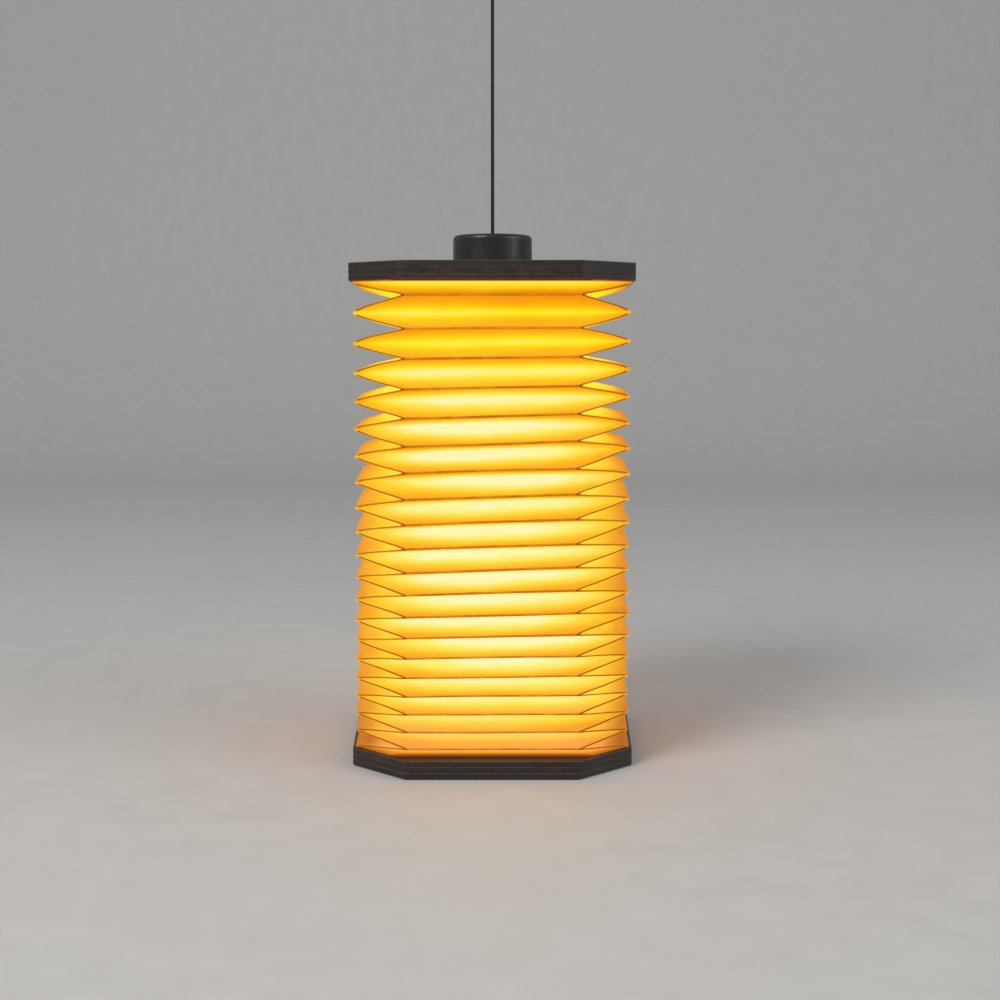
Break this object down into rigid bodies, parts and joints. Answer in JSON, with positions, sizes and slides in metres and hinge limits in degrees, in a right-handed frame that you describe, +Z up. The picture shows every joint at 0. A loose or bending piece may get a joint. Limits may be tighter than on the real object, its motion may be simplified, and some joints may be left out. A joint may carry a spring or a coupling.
{
  "type": "folding book lamp",
  "caption": "Accordion lamp that folds flat: lit paper pleats between two cut-cornered laminated wood covers, a light and battery in the base, a magnetic puck and hanging cord on top.",
  "frame": {"origin": "on the surface that the feet stand on, under the middle of the covers", "axes": "+Z up, the way the lamp opens; +X to the right seen from the front; the front faces -Y, the charging socket and the switch face +Y"},
  "size_m": [0.1584, 0.156, 0.4526],
  "materials": {
    "dark_wood": "satin",
    "end_sheet": "matte",
    "foot_rubber": "matte",
    "battery_foil": "satin",
    "lead_red": "satin",
    "lead_black": "satin",
    "board_green": "satin",
    "component_black": "matte",
    "screw_steel": "satin",
    "socket_steel": "satin",
    "housing_white": "satin",
    "led_board_white": "matte",
    "led_yellow": "gloss",
    "diffuser_opal": "satin",
    "pleated_paper": "matte",
    "button_black": "matte",
    "keeper_steel": "satin",
    "puck_black": "satin",
    "magnet_nickel": "polished",
    "bush_brass": "satin",
    "cord_black": "matte",
    "ferrule_dark": "satin"
  },
  "bodies": {
    "base": {"base_outer_board": "dark_wood", "base_core_board": "dark_wood", "base_inner_board": "dark_wood", "base_end_sheet": "end_sheet", "feet": "foot_rubber", "battery": "battery_foil", "battery_leads": "lead_red", "control_board": "board_green", "board_components": "component_black", "board_screws": "screw_steel", "charge_socket": "socket_steel", "tact_switch": "component_black", "light_housing": "housing_white", "light_housing_screws": "screw_steel", "led_board": "led_board_white", "led_board_screws": "screw_steel", "led_chips": "led_yellow", "led_leads": "lead_black", "light_diffuser": "diffuser_opal", "paper_bellows": "pleated_paper"},
    "switch": {"switch_button": "button_black"},
    "top": {"top_end_sheet": "end_sheet", "top_inner_board": "dark_wood", "top_core_board": "dark_wood", "top_outer_board": "dark_wood", "keeper_disc": "keeper_steel"},
    "puck": {"puck_shell": "puck_black", "puck_magnet": "magnet_nickel", "puck_plate": "keeper_steel", "puck_screws": "screw_steel"},
    "cord": {"cord_bush": "bush_brass", "cord_knot": "cord_black", "hanging_cord": "cord_black", "loop_ferrule": "ferrule_dark", "cord_loop": "cord_black"}
  },
  "joints": [
    {"name": "lamp_fold", "type": "slide", "parent": "base", "child": "top", "axis": [0, 0, 1], "range_m": [-0.222, 0], "deforming": ["paper_bellows"]},
    {"name": "puck_lift", "type": "slide", "parent": "top", "child": "puck", "axis": [0, 0, 1], "range_m": [0, 0.03]},
    {"name": "cord_turn", "type": "hinge", "parent": "puck", "child": "cord", "pos_m": [0, 0, 0.2822], "axis": [0, 0, 1], "continuous": true},
    {"name": "switch_press", "type": "slide", "parent": "base", "child": "switch", "axis": [0, -1, 0], "range_m": [0, 0.0006], "stiffness_N_per_m": 2500}
  ]
}
